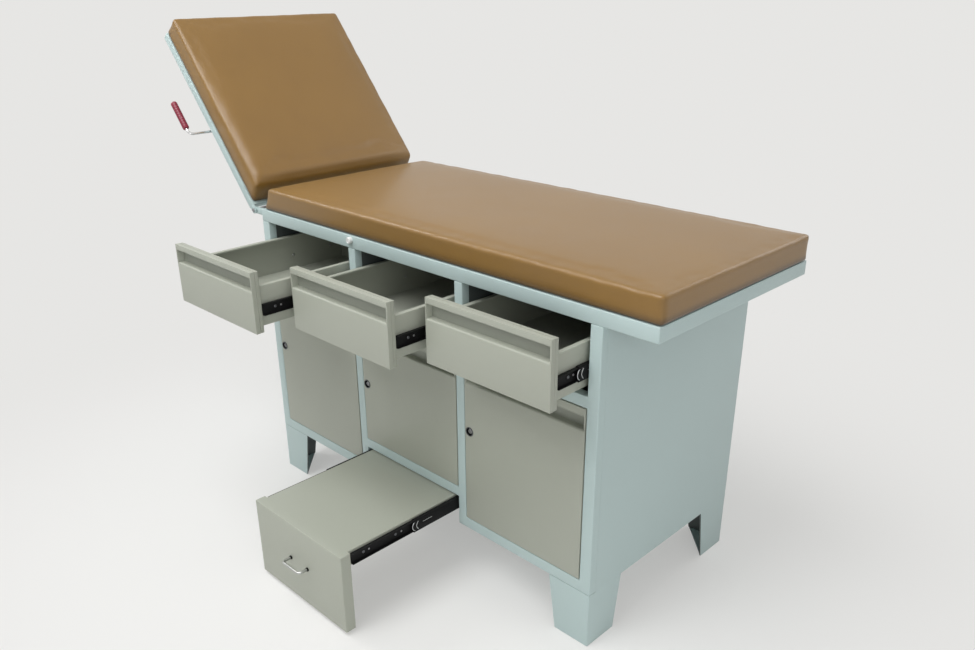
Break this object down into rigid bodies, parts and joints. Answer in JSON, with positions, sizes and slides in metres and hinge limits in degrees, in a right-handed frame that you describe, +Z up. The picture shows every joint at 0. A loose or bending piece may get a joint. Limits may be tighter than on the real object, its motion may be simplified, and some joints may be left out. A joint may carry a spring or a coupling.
{
  "type": "examination couch",
  "caption": "Steel examination couch: padded seat and gas-sprung lifting backrest over a cabinet with drawers, cupboards and a pull-out footstep",
  "frame": {"origin": "on the sole of the front left leg, 25 mm in from both outer faces of the cabinet, at floor level", "axes": "+X along the couch from the head end (raised backrest) to the foot end, -Y toward the front with the drawers and doors, +Z up"},
  "size_m": [1.647, 0.9072, 1.2204],
  "materials": {
    "carcass_paint": "satin powder coat, pale blue-green",
    "front_paint": "satin powder coat, warm grey",
    "leatherette": "tan grained leatherette, satin",
    "slide_black": "black, semi-gloss",
    "bright_metal": "bright chrome",
    "steel": "bare steel",
    "grip_plastic": "dark red plastic",
    "white_plastic": "white plastic"
  },
  "bodies": {
    "cabinet": {"front_frame": "carcass_paint", "left_side_panel": "carcass_paint", "right_side_panel": "carcass_paint", "back_panel": "carcass_paint", "left_partition": "carcass_paint", "right_partition": "carcass_paint", "floor_pan": "carcass_paint", "front_left_leg": "carcass_paint", "front_right_leg": "carcass_paint", "rear_left_leg": "carcass_paint", "rear_right_leg": "carcass_paint", "top_frame": "carcass_paint", "seat_cushion": "leatherette", "hinge_rod": "steel", "left_drawer_left_cabinet_member": "slide_black", "left_drawer_right_cabinet_member": "slide_black", "middle_drawer_left_cabinet_member": "slide_black", "middle_drawer_right_cabinet_member": "slide_black", "right_drawer_left_cabinet_member": "slide_black", "right_drawer_right_cabinet_member": "slide_black", "step_left_cabinet_member": "slide_black", "step_right_cabinet_member": "slide_black"},
    "backrest": {"backrest_frame": "carcass_paint", "backrest_cushion": "leatherette"},
    "gas_cylinder": {"gas_spring_cylinder": "slide_black"},
    "gas_rod": {"gas_spring_rod": "bright_metal"},
    "lever": {"release_lever": "bright_metal", "lever_grip": "grip_plastic"},
    "left_drawer": {"left_drawer_box": "front_paint", "left_drawer_front": "front_paint", "left_drawer_left_drawer_member": "slide_black", "left_drawer_right_drawer_member": "slide_black"},
    "left_drawer_runners": {"left_drawer_left_intermediate_member": "slide_black", "left_drawer_right_intermediate_member": "slide_black"},
    "middle_drawer": {"middle_drawer_box": "front_paint", "middle_drawer_front": "front_paint", "middle_drawer_left_drawer_member": "slide_black", "middle_drawer_right_drawer_member": "slide_black"},
    "middle_drawer_runners": {"middle_drawer_left_intermediate_member": "slide_black", "middle_drawer_right_intermediate_member": "slide_black"},
    "right_drawer": {"right_drawer_box": "front_paint", "right_drawer_front": "front_paint", "right_drawer_left_drawer_member": "slide_black", "right_drawer_right_drawer_member": "slide_black"},
    "right_drawer_runners": {"right_drawer_left_intermediate_member": "slide_black", "right_drawer_right_intermediate_member": "slide_black"},
    "step": {"step_tread": "front_paint", "step_front": "front_paint", "step_handle": "bright_metal", "step_left_step_member": "slide_black", "step_right_step_member": "slide_black"},
    "step_runners": {"step_left_intermediate_member": "slide_black", "step_right_intermediate_member": "slide_black"},
    "left_door": {"left_door": "front_paint"},
    "left_door_lock": {"left_door_lock": "bright_metal"},
    "middle_door": {"middle_door": "front_paint"},
    "middle_door_lock": {"middle_door_lock": "bright_metal"},
    "right_door": {"right_door": "front_paint"},
    "right_door_lock": {"right_door_lock": "bright_metal"},
    "drawer_lock": {"drawer_lock_button": "white_plastic"}
  },
  "joints": [
    {"name": "backrest_hinge", "type": "hinge", "parent": "cabinet", "child": "backrest", "pos_m": [-0.065, 0.245, 0.757], "axis": [0, 1, 0], "range_deg": [-50, 10]},
    {"name": "gas_spring_foot_pin", "type": "hinge", "parent": "cabinet", "child": "gas_cylinder", "pos_m": [-0.047, 0.245, 0.53272], "axis": [0, 1, 0], "range_deg": [-26, 6]},
    {"name": "gas_spring_head_pin", "type": "hinge", "parent": "backrest", "child": "gas_rod", "pos_m": [-0.22995, 0.245, 0.91002], "axis": [0, 1, 0], "range_deg": [-6, 26]},
    {"name": "release_lever_turn", "type": "hinge", "parent": "backrest", "child": "lever", "pos_m": [-0.24475, -0.025, 0.94166], "axis": [0, 1, 0], "range_deg": [0, 25], "stiffness_Nm_per_rad": 1.5},
    {"name": "left_drawer_slide", "type": "slide", "parent": "cabinet", "child": "left_drawer", "axis": [0, -1, 0], "range_m": [-0.264, 0.136]},
    {"name": "left_drawer_runner_slide", "type": "slide", "parent": "cabinet", "child": "left_drawer_runners", "axis": [0, -1, 0], "range_m": [-0.132, 0.068]},
    {"name": "middle_drawer_slide", "type": "slide", "parent": "cabinet", "child": "middle_drawer", "axis": [0, -1, 0], "range_m": [-0.181, 0.219]},
    {"name": "middle_drawer_runner_slide", "type": "slide", "parent": "cabinet", "child": "middle_drawer_runners", "axis": [0, -1, 0], "range_m": [-0.0905, 0.1095]},
    {"name": "right_drawer_slide", "type": "slide", "parent": "cabinet", "child": "right_drawer", "axis": [0, -1, 0], "range_m": [-0.106, 0.294]},
    {"name": "right_drawer_runner_slide", "type": "slide", "parent": "cabinet", "child": "right_drawer_runners", "axis": [0, -1, 0], "range_m": [-0.053, 0.147]},
    {"name": "step_slide", "type": "slide", "parent": "cabinet", "child": "step", "axis": [0, -1, 0], "range_m": [-0.338, 0]},
    {"name": "step_runner_slide", "type": "slide", "parent": "cabinet", "child": "step_runners", "axis": [0, -1, 0], "range_m": [-0.169, 0]},
    {"name": "left_door_hinge", "type": "hinge", "parent": "cabinet", "child": "left_door", "pos_m": [0.32917, -0.019, 0.36], "axis": [0, 0, 1], "range_deg": [0, 90]},
    {"name": "left_door_lock_turn", "type": "hinge", "parent": "left_door", "child": "left_door_lock", "pos_m": [0.0195, -0.025, 0.393], "axis": [0, 1, 0], "range_deg": [0, 90]},
    {"name": "middle_door_hinge", "type": "hinge", "parent": "cabinet", "child": "middle_door", "pos_m": [0.69183, -0.019, 0.36], "axis": [0, 0, 1], "range_deg": [0, 90]},
    {"name": "middle_door_lock_turn", "type": "hinge", "parent": "middle_door", "child": "middle_door_lock", "pos_m": [0.38217, -0.025, 0.393], "axis": [0, 1, 0], "range_deg": [0, 90]},
    {"name": "right_door_hinge", "type": "hinge", "parent": "cabinet", "child": "right_door", "pos_m": [1.0545, -0.019, 0.36], "axis": [0, 0, 1], "range_deg": [0, 90]},
    {"name": "right_door_lock_turn", "type": "hinge", "parent": "right_door", "child": "right_door_lock", "pos_m": [0.74483, -0.025, 0.393], "axis": [0, 1, 0], "range_deg": [0, 90]},
    {"name": "drawer_lock_push", "type": "slide", "parent": "cabinet", "child": "drawer_lock", "axis": [0, 1, 0], "range_m": [0, 0.006]}
  ],
  "couplings": [
    {"joint": "gas_spring_foot_pin", "follows": "backrest_hinge", "ratio": 0.5},
    {"joint": "gas_spring_head_pin", "follows": "backrest_hinge", "ratio": -0.5},
    {"joint": "left_drawer_runner_slide", "follows": "left_drawer_slide", "ratio": 0.5},
    {"joint": "middle_drawer_runner_slide", "follows": "middle_drawer_slide", "ratio": 0.5},
    {"joint": "right_drawer_runner_slide", "follows": "right_drawer_slide", "ratio": 0.5},
    {"joint": "step_runner_slide", "follows": "step_slide", "ratio": 0.5}
  ]
}
